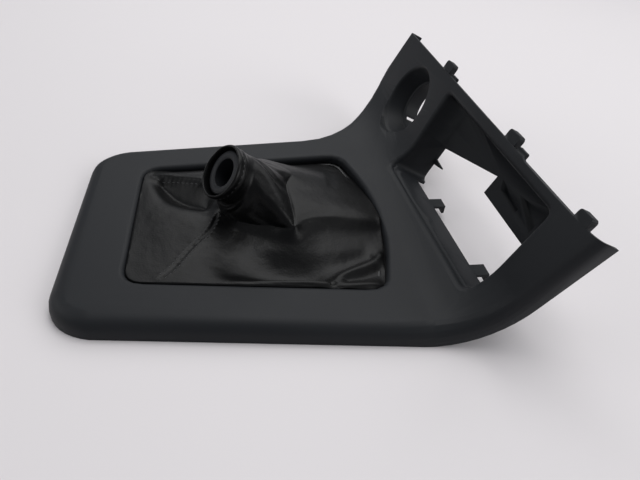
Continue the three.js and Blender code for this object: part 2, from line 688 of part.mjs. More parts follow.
function gaiterFrame() {
  const flange = extrude(openingOutline(FRAME_OUTSIDE), FRAME_BOTTOM, FRAME_TOP);
  const lugs = screwPlaces().map(([x, y]) => (
    pin(x, y, LUG_RADIUS, FRAME_BOTTOM, FRAME_TOP).add(pin(x, y, LUG_STEP_RADIUS, FRAME_BOTTOM, LUG_TOP))));
  const upstand = extrude(openingOutline(-FRAME_INSIDE + UPSTAND_WALL), FRAME_BOTTOM, FRAME_TOP + UPSTAND_HEIGHT);
  const window = extrude(openingOutline(-FRAME_INSIDE), FRAME_BOTTOM - 1, FRAME_TOP + UPSTAND_HEIGHT + 1);
  const holes = screwPlaces().map(([x, y]) => (
    pin(x, y, SCREW_RADIUS + SCREW_GAP, FRAME_BOTTOM - 1, LUG_TOP + 1)
      .add(pin(x, y, SCREW_HEAD_RADIUS + SCREW_GAP, FRAME_BOTTOM - 1, SCREW_SEAT))));
  return join([flange, upstand, ...lugs]).subtract(window).subtract(join(holes));
}

function screw() {
  const shank = SCREW_RADIUS;
  const tip = SCREW_LENGTH;
  const head = SCREW_HEAD_HEIGHT;
  const body = lathe([
    [0, -head], [SCREW_HEAD_RADIUS * 0.7, -head], [SCREW_HEAD_RADIUS, -head * 0.55], [SCREW_HEAD_RADIUS, 0],
    [shank, 0], [shank, tip - 1.5], [0.4, tip], [0, tip],
  ], 0, 0, 14);
  const recess = SCREW_HEAD_RADIUS * 0.55;
  const cross = block(-recess, recess, -0.4, 0.4, -head - 1, -head * 0.45)
    .add(block(-0.4, 0.4, -recess, recess, -head - 1, -head * 0.45));
  return body.subtract(cross);
}

// The point of a closed outline, seen from above, in the direction of an angle from a centre
function outlineToward(points, centre, angle) {
  const direction = new THREE.Vector2(Math.cos(angle), Math.sin(angle));
  let best = null;
  points.forEach((p, i) => {
    const q = points[(i + 1) % points.length];
    const a = new THREE.Vector2(p.x - centre.x, p.y - centre.y);
    const span = new THREE.Vector2(q.x - p.x, q.y - p.y);
    const cross = direction.x * span.y - direction.y * span.x;
    if (Math.abs(cross) < 1e-9) return;
    const along = (a.x * span.y - a.y * span.x) / cross;
    const share = (a.x * direction.y - a.y * direction.x) / cross;
    if (along > 0 && share > -1e-9 && share < 1 + 1e-9) best = p.clone().lerp(q, share);
  });
  return best;
}

// How near a point is, seen from above, to a crease: 1 on its line and falling off over its width
function nearness(x, y, crease) {
  const [x0, y0] = crease.from;
  const [x1, y1] = crease.to;
  const [dx, dy] = [x1 - x0, y1 - y0];
  const share = THREE.MathUtils.clamp(((x - x0) * dx + (y - y0) * dy) / (dx * dx + dy * dy), 0, 1);
  const away = Math.hypot(x - x0 - share * dx, y - y0 - share * dy);
  return Math.exp(-((away / crease.width) ** 2));
}

// The boot's outside as rings of points, from the hem up the skirt and along the neck to its mouth
function bootRings() {
  const base = openingOutline(-LEATHER_TO_LIP);
  const foot = new THREE.CatmullRomCurve3(NECK_FOOT.map((p) => new THREE.Vector3(...p)), true, 'centripetal')
    .getPoints(60).slice(0, -1);
  const centre = foot.reduce((sum, p) => sum.add(p), new THREE.Vector3()).divideScalar(foot.length);
  const right = new THREE.Vector3().crossVectors(new THREE.Vector3(0, 0, 1), NECK_AXIS).normalize();
  const over = new THREE.Vector3().crossVectors(NECK_AXIS, right);
  const columns = base.map((p) => {
    const angle = Math.atan2(p.y - centre.y, p.x - centre.x);
    // the mouth's plane stands square to the neck's axis, and angle 0 points forward over the neck
    const mouth = MOUTH.clone()
      .addScaledVector(over, NECK_RADIUS * Math.cos(angle))
      .addScaledVector(right, -NECK_RADIUS * Math.sin(angle));
    const throat = mouth.clone().addScaledVector(NECK_AXIS, -COLLAR_LENGTH - NECK_STRAIGHT);
    return { base: p, foot: outlineToward(foot, centre, angle), throat, mouth };
  });
  const rings = [];
  for (const z of [HEM_TOP, SKIRT_EDGE]) rings.push(base.map((p) => new THREE.Vector3(p.x, p.y, z)));
  for (let k = 1; k <= SKIRT_STEPS; k++) {
    const t = k / SKIRT_STEPS;
    rings.push(columns.map((column) => {
      const x = THREE.MathUtils.lerp(column.base.x, column.foot.x, t);
      const y = THREE.MathUtils.lerp(column.base.y, column.foot.y, t);
      const fade = Math.sin(Math.PI * t) ** 0.6;
      const folds = CREASES.reduce((sum, crease) => sum + crease.height * nearness(x, y, crease), 0);
      return new THREE.Vector3(x, y, THREE.MathUtils.lerp(SKIRT_EDGE, column.foot.z, t) + fade * folds);
    }));
  }
  for (let k = 1; k <= NECK_STEPS; k++) {
    const t = k / NECK_STEPS;
    rings.push(columns.map((column) => column.foot.clone().lerp(column.throat, t)));
  }
  rings.push(columns.map((column) => column.throat.clone().lerp(column.mouth, 0.5)));
  rings.push(columns.map((column) => column.mouth));
  return rings;
}

// Outward normals of a grid of rings
function ringNormals(rings) {
  return rings.map((ring, r) => ring.map((_, i) => {
    const up = rings[Math.min(r + 1, rings.length - 1)][i].clone().sub(rings[Math.max(r - 1, 0)][i]);
    const round = ring[(i + 1) % ring.length].clone().sub(ring[(i + ring.length - 1) % ring.length]);
    return new THREE.Vector3().crossVectors(round, up).normalize();
  }));
}

function gaiter() {
  const outside = bootRings();
  const normals = ringNormals(outside);
  const inside = outside.map((ring, r) => ring.map((p, i) => p.clone().addScaledVector(normals[r][i], -LEATHER)));
  const level = (offset, z) => openingOutline(offset).map((p) => new THREE.Vector3(p.x, p.y, z));
  const rings = [
    level(HEM_REACH, HEM_BOTTOM), level(HEM_REACH, HEM_TOP), ...outside,
    ...inside.slice(1).reverse(), level(-LEATHER_TO_LIP - LEATHER, HEM_BOTTOM),
  ];
  return toManifold(loft(rings, true));
}

function collar() {
  const outer = NECK_RADIUS - LEATHER - SEAT_GAP;
  return lathe([
    [COLLAR_BORE, -COLLAR_LENGTH], [outer - 0.6, -COLLAR_LENGTH], [outer, -COLLAR_LENGTH + 1],
    [outer, -1.4], [outer - 1.2, -0.4], [COLLAR_BORE + 1.6, 0], [COLLAR_BORE, -1.2], [COLLAR_BORE, -COLLAR_LENGTH],
  ], 0, 0, 36);
}

// Assembly

const materials = {
  panel: new THREE.MeshStandardMaterial({ color: 0x23272a, roughness: 0.62, metalness: 0 }),
  leather: new THREE.MeshStandardMaterial({ color: 0x17181a, roughness: 0.48, metalness: 0 }),
  frame: new THREE.MeshStandardMaterial({ color: 0x141516, roughness: 0.7, metalness: 0 }),
  steel: new THREE.MeshStandardMaterial({ color: 0x8d9093, roughness: 0.35, metalness: 1 }),
};

function named(name, solid, material) {
  const geometry = toGeometry(solid);
  geometry.computeVertexNormals();
  const mesh = new THREE.Mesh(geometry, material);
  mesh.name = name;
  return mesh;
}

const assembly = new THREE.Group();
assembly.add(named('surround_panel', surroundPanel(), materials.panel));
assembly.add(named('gaiter', gaiter(), materials.leather));
assembly.add(named('gaiter_frame', gaiterFrame(), materials.frame));

const collarMesh = named('gaiter_collar', collar(), materials.frame);
collarMesh.position.copy(MOUTH).addScaledVector(NECK_AXIS, -COLLAR_INSET);
collarMesh.quaternion.setFromUnitVectors(new THREE.Vector3(0, 0, 1), NECK_AXIS);
assembly.add(collarMesh);

screwPlaces().forEach(([x, y], i) => {
  const mesh = named(`frame_screw_${i + 1}`, screw(), materials.steel);
  mesh.position.set(x, y, SCREW_SEAT - SCREW_GAP);
  assembly.add(mesh);
});

// The origin is under the middle of the whole, on the surface that it stands on.
assembly.updateMatrixWorld(true);
const extent = new THREE.Box3().setFromObject(assembly, true);
const middle = extent.getCenter(new THREE.Vector3());
assembly.position.set(-middle.x, -middle.y, -extent.min.z);

export default assembly;
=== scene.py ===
"""Gear lever surround and its leather gaiter, dressed for a picture on a pale table."""
import logging
import math
from dataclasses import dataclass
from enum import Enum

import bpy
import numpy as np
from mathutils import Matrix, Vector, noise

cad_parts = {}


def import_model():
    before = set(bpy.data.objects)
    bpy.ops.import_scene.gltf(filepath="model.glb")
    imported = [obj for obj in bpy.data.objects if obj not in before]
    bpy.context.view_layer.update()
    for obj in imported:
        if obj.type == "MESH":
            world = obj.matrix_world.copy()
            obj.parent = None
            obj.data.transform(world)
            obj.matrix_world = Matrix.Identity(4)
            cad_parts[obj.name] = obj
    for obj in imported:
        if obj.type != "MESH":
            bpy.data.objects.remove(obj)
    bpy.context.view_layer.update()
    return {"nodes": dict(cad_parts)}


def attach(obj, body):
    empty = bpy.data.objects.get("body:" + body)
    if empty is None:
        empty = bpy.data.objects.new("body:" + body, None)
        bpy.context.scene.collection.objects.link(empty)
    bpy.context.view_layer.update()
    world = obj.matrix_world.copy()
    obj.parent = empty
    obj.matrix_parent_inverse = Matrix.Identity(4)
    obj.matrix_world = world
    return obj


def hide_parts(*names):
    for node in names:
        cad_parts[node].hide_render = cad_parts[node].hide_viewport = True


log = logging.getLogger("gaiter")

MM = 0.001
SCREWS = 6
# The drawing's origin is at the rear edge on the centre line; the frame's is under the middle of the whole.
MIDDLE = np.array([138.70456, 24.33608, 0.0])


def to_frame(points: np.ndarray) -> np.ndarray:
    """Turns drawing points in millimetres into frame points in metres."""
    return (np.asarray(points, dtype=float) - MIDDLE) * MM


class Body(Enum):
    """The bodies that pieces ride on."""

    ROOT = "root"


class Slot(Enum):
    """The material slots by name."""

    PANEL = "panel_plastic"
    LEATHER = "leather"
    FRAME = "frame_plastic"
    COLLAR = "collar_plastic"
    SCREW = "screw_steel"


class NodeTree:
    """A thin helper that adds and links nodes in a tree."""

    def __init__(self, tree: bpy.types.NodeTree) -> None:
        """Keeps the tree."""
        self.tree = tree

    def add(self, kind: str, **settings: object) -> bpy.types.Node:
        """Adds a node and sets its properties and input values.

        Args:
            kind: the node's type name.
            settings: properties by name, or inputs by name with spaces written as underscores.

        Returns:
            The new node.
        """
        node = self.tree.nodes.new(kind)
        for key, value in settings.items():
            if hasattr(node, key):
                setattr(node, key, value)
            else:
                node.inputs[key.replace("_", " ")].default_value = value
        return node

    def link(self, source: bpy.types.NodeSocket, target: bpy.types.NodeSocket) -> None:
        """Links an output to an input."""
        self.tree.links.new(source, target)


class SurfaceGroups:
    """Shader node groups that more than one finish uses."""

    # the noise that bends the grain's cells: its size as a share of the cells, and how far it bends them
    WARP_SHARE = 0.4
    WARP_REACH = 0.0012
    CELL_SOFTNESS = 0.6

    def __init__(self) -> None:
        """Builds the groups once."""
        self.grain = self._grain()
        self.mottle = self._mottle()

    @staticmethod
    def _group(
        name: str, inputs: dict[str, float], outputs: list[str],
    ) -> tuple[bpy.types.NodeTree, NodeTree]:
        """Makes a group with value inputs and outputs.

        Args:
            name: the group's name.
            inputs: input names with their default values.
            outputs: output names.

        Returns:
            The group and its helper.
        """
        group = bpy.data.node_groups.new(name, "ShaderNodeTree")
        group.interface.new_socket("Vector", in_out="INPUT", socket_type="NodeSocketVector")
        for key, value in inputs.items():
            socket = group.interface.new_socket(key, in_out="INPUT", socket_type="NodeSocketFloat")
            socket.default_value = value
        for key in outputs:
            group.interface.new_socket(key, in_out="OUTPUT", socket_type="NodeSocketFloat")
        return group, NodeTree(group)

    def _grain(self) -> bpy.types.NodeTree:
        """Builds pebbled grain: cells with soft valleys, broken up by finer noise.

        Returns:
            The group.
        """
        inputs = {"Cells": 900.0, "Fine": 2600.0, "Fine share": 0.35}
        group, tree = self._group("Pebbled grain", inputs, ["Height"])
        start, end = tree.add("NodeGroupInput"), tree.add("NodeGroupOutput")
        warp = tree.add("ShaderNodeTexNoise", Detail=2.0)
        warp_scale = tree.add("ShaderNodeMath", operation="MULTIPLY")
        warp_scale.inputs[1].default_value = self.WARP_SHARE
        tree.link(start.outputs["Cells"], warp_scale.inputs[0])
        tree.link(start.outputs["Vector"], warp.inputs["Vector"])
        tree.link(warp_scale.outputs[0], warp.inputs["Scale"])
        shift = tree.add("ShaderNodeVectorMath", operation="MULTIPLY_ADD")
        shift.inputs[1].default_value = (self.WARP_REACH,) * 3
        tree.link(warp.outputs["Color"], shift.inputs[0])
        tree.link(start.outputs["Vector"], shift.inputs[2])
        cells = tree.add("ShaderNodeTexVoronoi", feature="SMOOTH_F1")
        cells.inputs["Smoothness"].default_value = self.CELL_SOFTNESS
        tree.link(shift.outputs[0], cells.inputs["Vector"])
        tree.link(start.outputs["Cells"], cells.inputs["Scale"])
        fine = tree.add("ShaderNodeTexNoise", Detail=3.0)
        tree.link(start.outputs["Vector"], fine.inputs["Vector"])
        tree.link(start.outputs["Fine"], fine.inputs["Scale"])
        flip = tree.add("ShaderNodeMath", operation="SUBTRACT")
        flip.inputs[0].default_value = 1.0
        tree.link(cells.outputs["Distance"], flip.inputs[1])
        weigh = tree.add("ShaderNodeMath", operation="MULTIPLY_ADD")
        tree.link(fine.outputs["Fac"], weigh.inputs[0])
        tree.link(start.outputs["Fine share"], weigh.inputs[1])
        tree.link(flip.outputs[0], weigh.inputs[2])
        tree.link(weigh.outputs[0], end.inputs["Height"])
        return group

    def _mottle(self) -> bpy.types.NodeTree:
        """Builds a slow unevenness between 0 and 1 for colour and roughness.

        Returns:
            The group.
        """
        group, tree = self._group("Slow unevenness", {"Scale": 20.0, "Contrast": 2.0}, ["Value"])
        start, end = tree.add("NodeGroupInput"), tree.add("NodeGroupOutput")
        clouds = tree.add("ShaderNodeTexNoise", Detail=5.0, Roughness=0.55)
        tree.link(start.outputs["Vector"], clouds.inputs["Vector"])
        tree.link(start.outputs["Scale"], clouds.inputs["Scale"])
        centre = tree.add("ShaderNodeMath", operation="SUBTRACT")
        centre.inputs[1].default_value = 0.5
        tree.link(clouds.outputs["Fac"], centre.inputs[0])
        stretch = tree.add("ShaderNodeMath", operation="MULTIPLY_ADD", use_clamp=True)
        stretch.inputs[2].default_value = 0.5
        tree.link(centre.outputs[0], stretch.inputs[0])
        tree.link(start.outputs["Contrast"], stretch.inputs[1])
        tree.link(stretch.outputs[0], end.inputs["Value"])
        return group


@dataclass(frozen=True)
class Finish:
    """A surface finish with grain, uneven colour and uneven sheen."""

    name: str
    dark: tuple[float, float, float]
    light: tuple[float, float, float]
    roughness: tuple[float, float]
    cells: float = 900.0
    fine: float = 2600.0
    grain_depth: float = 0.00006
    grain_strength: float = 0.5
    mottle_scale: float = 20.0
    metallic: float = 0.0
    specular: float = 0.5

    def material(self, groups: SurfaceGroups) -> bpy.types.Material:
        """Builds the finish's material.

        Args:
            groups: the shared node groups.

        Returns:
            The material.
        """
        material = bpy.data.materials.new(self.name)
        material.use_nodes = True
        tree = NodeTree(material.node_tree)
        material.node_tree.nodes.clear()
        out = tree.add("ShaderNodeOutputMaterial")
        shader = tree.add("ShaderNodeBsdfPrincipled")
        shader.inputs["Metallic"].default_value = self.metallic
        shader.inputs["Specular IOR Level"].default_value = self.specular
        tree.link(shader.outputs[0], out.inputs["Surface"])
        place = tree.add("ShaderNodeTexCoord")
        mottle = tree.add("ShaderNodeGroup", node_tree=groups.mottle)
        mottle.inputs["Scale"].default_value = self.mottle_scale
        tree.link(place.outputs["Object"], mottle.inputs["Vector"])
        colour = tree.add("ShaderNodeMix", data_type="RGBA")
        colour.inputs["A"].default_value = (*self.dark, 1.0)
        colour.inputs["B"].default_value = (*self.light, 1.0)
        tree.link(mottle.outputs["Value"], colour.inputs["Factor"])
        tree.link(colour.outputs["Result"], shader.inputs["Base Color"])
        rough = tree.add("ShaderNodeMapRange")
        rough.inputs["To Min"].default_value = self.roughness[0]
        rough.inputs["To Max"].default_value = self.roughness[1]
        tree.link(mottle.outputs["Value"], rough.inputs["Value"])
        tree.link(rough.outputs[0], shader.inputs["Roughness"])
        grain = tree.add("ShaderNodeGroup", node_tree=groups.grain)
        grain.inputs["Cells"].default_value = self.cells
        grain.inputs["Fine"].default_value = self.fine
        tree.link(place.outputs["Object"], grain.inputs["Vector"])
        bump = tree.add("ShaderNodeBump")
        bump.inputs["Strength"].default_value = self.grain_strength
        bump.inputs["Distance"].default_value = self.grain_depth
        tree.link(grain.outputs["Height"], bump.inputs["Height"])
        tree.link(bump.outputs["Normal"], shader.inputs["Normal"])
        return material


PANEL_FINISH = Finish(
    "Charcoal moulding", (0.0098, 0.011, 0.013), (0.0122, 0.0135, 0.0156), (0.5, 0.58),
    cells=1500.0, fine=4200.0, grain_depth=0.00005, grain_strength=0.35, mottle_scale=14.0, specular=0.22,
)
LEATHER_FINISH = Finish(
    "Black leather", (0.0022, 0.0023, 0.0025), (0.0038, 0.0038, 0.0039), (0.32, 0.42),
    cells=850.0, grain_depth=0.0001, mottle_scale=26.0, specular=0.19,
)
FRAME_FINISH = Finish(
    "Plain black moulding", (0.011, 0.011, 0.012), (0.015, 0.015, 0.016), (0.5, 0.6),
    cells=1400.0, grain_depth=0.00003, grain_strength=0.25,
)
COLLAR_FINISH = Finish(
    "Satin black moulding", (0.008, 0.009, 0.011), (0.012, 0.013, 0.015), (0.45, 0.55), specular=0.25,
    cells=1700.0, grain_depth=0.00002, grain_strength=0.2,
)
SCREW_FINISH = Finish(
    "Zinc-plated steel", (0.42, 0.42, 0.43), (0.55, 0.55, 0.56), (0.28, 0.42),
    cells=2400.0, grain_depth=0.00001, grain_strength=0.2, metallic=1.0,
)
THREAD_FINISH = Finish(
    "Black thread", (0.016, 0.016, 0.017), (0.024, 0.024, 0.026), (0.55, 0.65),
    cells=4000.0, grain_depth=0.00003, grain_strength=0.3,
)


def deselect() -> None:
    """Leaves nothing selected."""
    bpy.ops.object.select_all(action="DESELECT")


def activate(piece: bpy.types.Object) -> None:
    """Selects one piece alone and makes it active.

    Args:
        piece: the piece.
    """
    deselect()
    piece.select_set(True)
    bpy.context.view_layer.objects.active = piece


def dress(piece: bpy.types.Object, material: bpy.types.Material) -> None:
    """Gives a piece its one material.

    Args:
        piece: the piece.
        material: its finish.
    """
    piece.data.materials.clear()
    piece.data.materials.append(material)


def piece_from_points(name: str, points: np.ndarray, faces: list[tuple[int, ...]]) -> bpy.types.Object:
    """Makes a piece from drawing points and selects it.

    Args:
        name: the piece's name.
        points: its points in drawing millimetres, one row each.
        faces: the points that each face joins.

    Returns:
        The new piece, active and alone in the selection.
    """
    mesh = bpy.data.meshes.new(name)
    mesh.from_pydata(to_frame(points).tolist(), [], faces)
    mesh.update()
    piece = bpy.data.objects.new(name, mesh)
    bpy.context.scene.collection.objects.link(piece)
    activate(piece)
    return piece


@dataclass
class FramePiece:
    """A rigid piece whose shape comes from its node, merged and smoothed."""

    node: str
    name: str
    slot: Slot
    smooth_angle: float = 32.0
    merge_distance: float = 1e-6

    def build(self, nodes: dict[str, bpy.types.Object], material: bpy.types.Material) -> bpy.types.Object:
        """Copies the node, merges its facets and dresses it.

        Args:
            nodes: the frame's nodes by name.
            material: the piece's finish.

        Returns:
            The new piece.
        """
        piece = bpy.data.objects.new(self.name, nodes[self.node].data.copy())
        bpy.context.scene.collection.objects.link(piece)
        activate(piece)
        bpy.ops.object.mode_set(mode="EDIT")
        bpy.ops.mesh.select_all(action="SELECT")
        bpy.ops.mesh.remove_doubles(threshold=self.merge_distance)
        bpy.ops.object.mode_set(mode="OBJECT")
        bpy.ops.object.shade_smooth_by_angle(angle=math.radians(self.smooth_angle))
        weigh = piece.modifiers.new("Even shading", "WEIGHTED_NORMAL")
        weigh.keep_sharp = True
        bpy.ops.object.modifier_apply(modifier=weigh.name)
        dress(piece, material)
        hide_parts(self.node)
        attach(piece, Body.ROOT.value)
        return piece


@dataclass(frozen=True)
class FoldLine:
    """A line over the leather whose height is known: an edge, a ridge, a valley or a seam."""

    points: tuple[tuple[float, float, float], ...]
    closed: bool = False
    # points that the smooth curve gets between two given ones
    fineness: int = 24
    # distance between the points that places are measured from
    measure_step: float = 2.0

    def spaced(self, step: float) -> np.ndarray:
        """Runs a smooth curve through the points and spaces it evenly.

        Args:
            step: the wanted distance between points in millimetres.

        Returns:
            The points of the curve, one row each.
        """
        knots = np.array(self.points, dtype=float)
        count = len(knots)
        if self.closed:
            padded = np.vstack([knots[-1:], knots, knots[:2]])
        else:
            padded = np.vstack([2 * knots[0] - knots[1], knots, 2 * knots[-1] - knots[-2]])
        curve = []
        for a, b, c, d in zip(padded, padded[1:], padded[2:], padded[3:]):
            for t in np.linspace(0, 1, self.fineness, endpoint=False):
                square, cube = 2 * a - 5 * b + 4 * c - d, 3 * b - a - 3 * c + d
                curve.append(0.5 * (2 * b + (c - a) * t + square * t * t + cube * t ** 3))
        curve.append(knots[0] if self.closed else knots[-1])
        line = np.array(curve)
        run = np.concatenate([[0.0], np.cumsum(np.linalg.norm(np.diff(line, axis=0), axis=1))])
        pieces = max(int(round(run[-1] / step)), count)
        at = np.linspace(0, run[-1], pieces + 1)[: pieces if self.closed else pieces + 1]
        return np.stack([np.interp(at, run, line[:, k]) for k in range(3)], axis=1)

    def nearest(self, x: np.ndarray, y: np.ndarray) -> tuple[np.ndarray, np.ndarray]:
        """Measures, in plan, how far places lie to the side of the line and how far along it.

        Args:
            x: forward positions in millimetres.
            y: sideways positions in millimetres.

        Returns:
            The signed distance from the line and the run along it, both in millimetres.
        """
        line = self.spaced(self.measure_step)[:, :2]
        side, along = np.full(x.shape, math.inf), np.zeros(x.shape)
        run = 0.0
        for start, end in zip(line, line[1:]):
            span = end - start
            length = float(np.hypot(*span))
            share = np.clip(((x - start[0]) * span[0] + (y - start[1]) * span[1]) / length ** 2, 0.0, 1.0)
            dx, dy = x - start[0] - share * span[0], y - start[1] - share * span[1]
            away = np.hypot(dx, dy) * np.where(span[0] * dy - span[1] * dx < 0, -1.0, 1.0)
            closer = np.abs(away) < np.abs(side)
            side, along = np.where(closer, away, side), np.where(closer, run + share * length, along)
            run += length
        return side, along


class Relief:
    """A smooth height over the plan that passes through the fold lines."""

    # plan positions are brought near 1 in the tilt that the heights are measured from
    REACH = 100.0

    def __init__(self, points: np.ndarray, soft: float, ease: float) -> None:
        """Solves the weights of the surface.

        Args:
            points: known places with their heights, one row each, in millimetres.
            soft: how rounded the surface is at a point, in millimetres.
            ease: how far the surface may pass beside a point to stay smooth.
        """
        self.at, self.soft = points[:, :2], soft
        count = len(points)
        table = np.zeros((count + 3, count + 3))
        table[:count, :count] = self._kernel(self.at) + ease * np.eye(count)
        table[:count, count] = 1.0
        table[:count, count + 1:] = self.at / self.REACH
        table[count:, :count] = table[:count, count:].T
        self.weights = np.linalg.solve(table, np.concatenate([points[:, 2], np.zeros(3)]))

    def _kernel(self, places: np.ndarray) -> np.ndarray:
        """Gives each place's share of each known point."""
        away = ((places[:, None] - self.at[None]) ** 2).sum(axis=-1)
        return -np.sqrt(away + self.soft ** 2)

    def height(self, x: np.ndarray, y: np.ndarray) -> np.ndarray:
        """Gives the surface's height at places of the plan.

        Args:
            x: forward positions in millimetres.
            y: sideways positions in millimetres.

        Returns:
            The heights in millimetres.
        """
        places = np.column_stack([np.ravel(x), np.ravel(y)])
        count = len(self.at)
        value = self._kernel(places) @ self.weights[:count] + self.weights[count]
        return (value + (places / self.REACH) @ self.weights[count + 1:]).reshape(np.shape(x))


@dataclass(frozen=True)
class Wrinkle:
    """Waves round the neck: their height, their number in one round and their turn in radians."""

    height: float
    waves: int
    turn: float


@dataclass(frozen=True)
class Stitch:
    """One stitch, in drawing millimetres."""

    start: np.ndarray
    end: np.ndarray
    out: np.ndarray


@dataclass
class Boot:
    """The sewn leather boot, from the hem under the lip to the rolled mouth of its neck.

    All sizes and places are in drawing millimetres.
    """

    leather: float = 1.5
    columns: int = 320
    skirt_rows: int = 96
    neck_rows: int = 44
    # the panel's opening
    rear: float = 38.0
    front: float = 187.0
    rear_half: float = 58.0
    front_half: float = 75.0
    bow: float = 11.5
    bow_start: float = 2.0
    rear_corner: float = 11.0
    front_corner: float = 14.0
    corner_steps: int = 12
    bow_steps: int = 40
    # how the leather meets the opening's lip
    lip_gap: float = 0.6
    lip_round: float = 3.5
    lip_bite: float = 0.75
    plate: float = 12.0
    hem_reach: float = 4.0
    hem_top: float = 5.3
    edge_drop: float = 0.35
    edge_shares: tuple[float, ...] = (0.0, 0.35, 0.6, 0.75, 0.86, 0.94)
    # the neck
    mouth: tuple[float, float, float] = (92.8, -1.1, 46.0)
    axis: tuple[float, float, float] = (-0.735, -0.262, 0.625)
    neck_radius: float = 16.9
    straight: float = 13.0
    flare: float = 0.35
    # the mouth's rolled edge: places along the neck's axis with their radii, and which one is stitched
    groove_row: int = 7
    roll: tuple[tuple[float, float], ...] = (
        (-11.0, 16.85), (-9.2, 16.9), (-8.0, 16.9), (-7.5, 17.0), (-7.0, 17.3), (-6.2, 17.45),
        (-4.9, 17.35), (-4.2, 17.15), (-3.5, 17.35), (-2.4, 17.65), (-1.3, 17.7), (-0.5, 17.5),
        (0.1, 17.05), (0.25, 16.6), (0.1, 16.2), (-0.5, 15.95), (-1.6, 15.85), (-4.0, 15.75),
        (-8.0, 15.55), (-11.0, 15.45),
    )
    # how far the mouth is from round, with heights as shares of its radius
    mouth_waves: tuple[Wrinkle, ...] = (Wrinkle(0.008, 3, 0.5), Wrinkle(0.005, 8, 0.0))
    # the leather's outer edge, beside the opening's lip
    edge: FoldLine = FoldLine((
        (40, -56, 11.1), (38, -30, 11.3), (38, 10, 11.3), (40, 54, 10.4), (60, 60, 7.6), (85, 63, 7),
        (120, 67, 6.5), (150, 70, 6), (176, 71, 5.6), (190, 50, 6.0), (196, 28, 7.4), (199, 10, 9.8),
        (198.5, -3, 11.4), (198, -11, 11.6), (197, -19, 7.8), (195.5, -31, 6.4), (193.5, -43, 6.2),
        (191, -58, 6.6), (184, -71, 8), (165, -72.5, 9.8), (155, -71, 9.4), (145, -69.5, 10.8),
        (115, -66.3, 11.4), (80, -62.2, 11.3), (58, -59.5, 11.2),
    ), closed=True)
    # where the neck rises out of the skirt
    foot: FoldLine = FoldLine((
        (140, 24, 28.5), (135.5, 8, 27.8), (136.5, -27, 23), (121, -22.5, 19), (109.5, -17.8, 17.4),
        (98, -11.5, 16.4), (91.5, -1, 16.6), (89.5, 10, 17.8), (92, 24, 20), (104, 40, 26), (122, 42, 28.5),
    ), closed=True)
    # the front panel of the skirt, its ridge and the slope down to the near side
    ridge: FoldLine = FoldLine((
        (136.6, -28, 23), (141.5, -23, 22), (150.7, -18.7, 21), (163.4, -16, 19.5), (176.2, -14.8, 17),
        (188.4, -12.9, 14), (195, -11.5, 12),
    ))
    panel: FoldLine = FoldLine((
        (140, 6, 26.6), (152, 9, 23.4), (168, 11, 18.9), (184, 11, 14.2), (195, 10, 10.9),
    ))
    far_bend: FoldLine = FoldLine(((143, 25, 27), (158, 31, 21), (174, 37, 14), (186, 41, 8.6)))
    under_crest: FoldLine = FoldLine((
        (103, -20, 13.6), (116, -26.5, 14.2), (128, -31.5, 15.4), (138, -33, 16.2), (150, -26.5, 16.2),
        (163, -23.6, 15), (176, -22.2, 12.8), (188, -20, 10), (194, -19, 8.4),
    ))
    drop: FoldLine = FoldLine((
        (99, -27, 11.9), (113, -34, 11.2), (132, -39.5, 11.2), (151, -41, 10), (168, -39, 8.8),
        (183, -34, 7.4),
    ))
    # the tucked corner at the front of the near side, and the rolls beside it
    tuck: FoldLine = FoldLine((
        (155.5, -66, 10.2), (161, -60.3, 10.2), (170.5, -55.2, 10), (182, -49.6, 9.4), (191, -42, 8.2),
    ))
    tuck_valley: FoldLine = FoldLine((
        (154, -61.5, 6.8), (162, -54.2, 6.1), (172, -48.8, 5.7), (184, -43.2, 5.6),
    ))
    facet: FoldLine = FoldLine(((164, -64.5, 8.6), (176, -61.5, 6.8), (187, -55, 6.2)))
    near_roll: FoldLine = FoldLine((
        (93, -62.6, 11.5), (108, -63.4, 12), (127, -64.2, 12.3), (146, -66.2, 12.2), (153, -67.4, 11.6),
    ))
    behind_roll: FoldLine = FoldLine((
        (98, -56, 9), (112, -59, 6.4), (128, -60.4, 4.8), (142, -62, 4.6), (150, -63, 5.2),
    ))
    corner_roll: FoldLine = FoldLine((
        (157, -68.6, 11), (165, -69.6, 11.6), (175, -70.4, 11.2), (183, -69.6, 9.6),
    ))
    pinch: tuple[float, float] = (154.8, -67.4)
    pinch_depth: float = 2.4
    pinch_width: float = 1.5
    # the two seams and the fold behind the neck
    seam: FoldLine = FoldLine((
        (90, -5.2, 16.8), (86, -17, 15), (80, -26, 13.8), (73.3, -34.6, 12.8), (65.3, -48, 11.8),
        (58, -56.5, 11.4),
    ))
    far_seam: FoldLine = FoldLine(((43.5, 52, 10.6), (49.6, 45.8, 12.5), (63.8, 39.8, 14), (77.9, 32.7, 17)))
    crest: FoldLine = FoldLine((
        (44, 42, 11), (48, 29.3, 11.4), (56.3, 14, 12.2), (68.6, 6.2, 13), (83.7, -1.5, 14.6),
    ))
    valley: FoldLine = FoldLine(((51.5, 41, 7.4), (59.5, 29.5, 4.6), (70.5, 19.5, 4.4), (82, 12.5, 7.2)))
    # a shallow dent across the front panel; only its place in plan counts
    dent: FoldLine = FoldLine(((175, 56, 0), (172, 39, 0), (170, 22, 0)))
    dent_depth: float = 0.35
    dent_width: float = 3.5
    # how closely and how softly the skirt follows its lines
    line_step: float = 3.2
    line_soft: float = 0.9
    line_ease: float = 0.12
    # how fast the seams and sharp folds begin beside the edge and beside the neck
    edge_calm: float = 12.0
    neck_calm: float = 9.0
    # how deep the seams are pressed in, and how the leather swells beside them
    seam_depth: float = 0.6
    far_seam_depth: float = 0.5
    seam_width: float = 0.9
    swell: float = 0.3
    swell_offset: float = 1.9
    swell_width: float = 1.1
    # the swell's share between two stitches' pulls and what it gains at the fullest place
    swell_least: float = 0.45
    swell_gain: float = 0.55
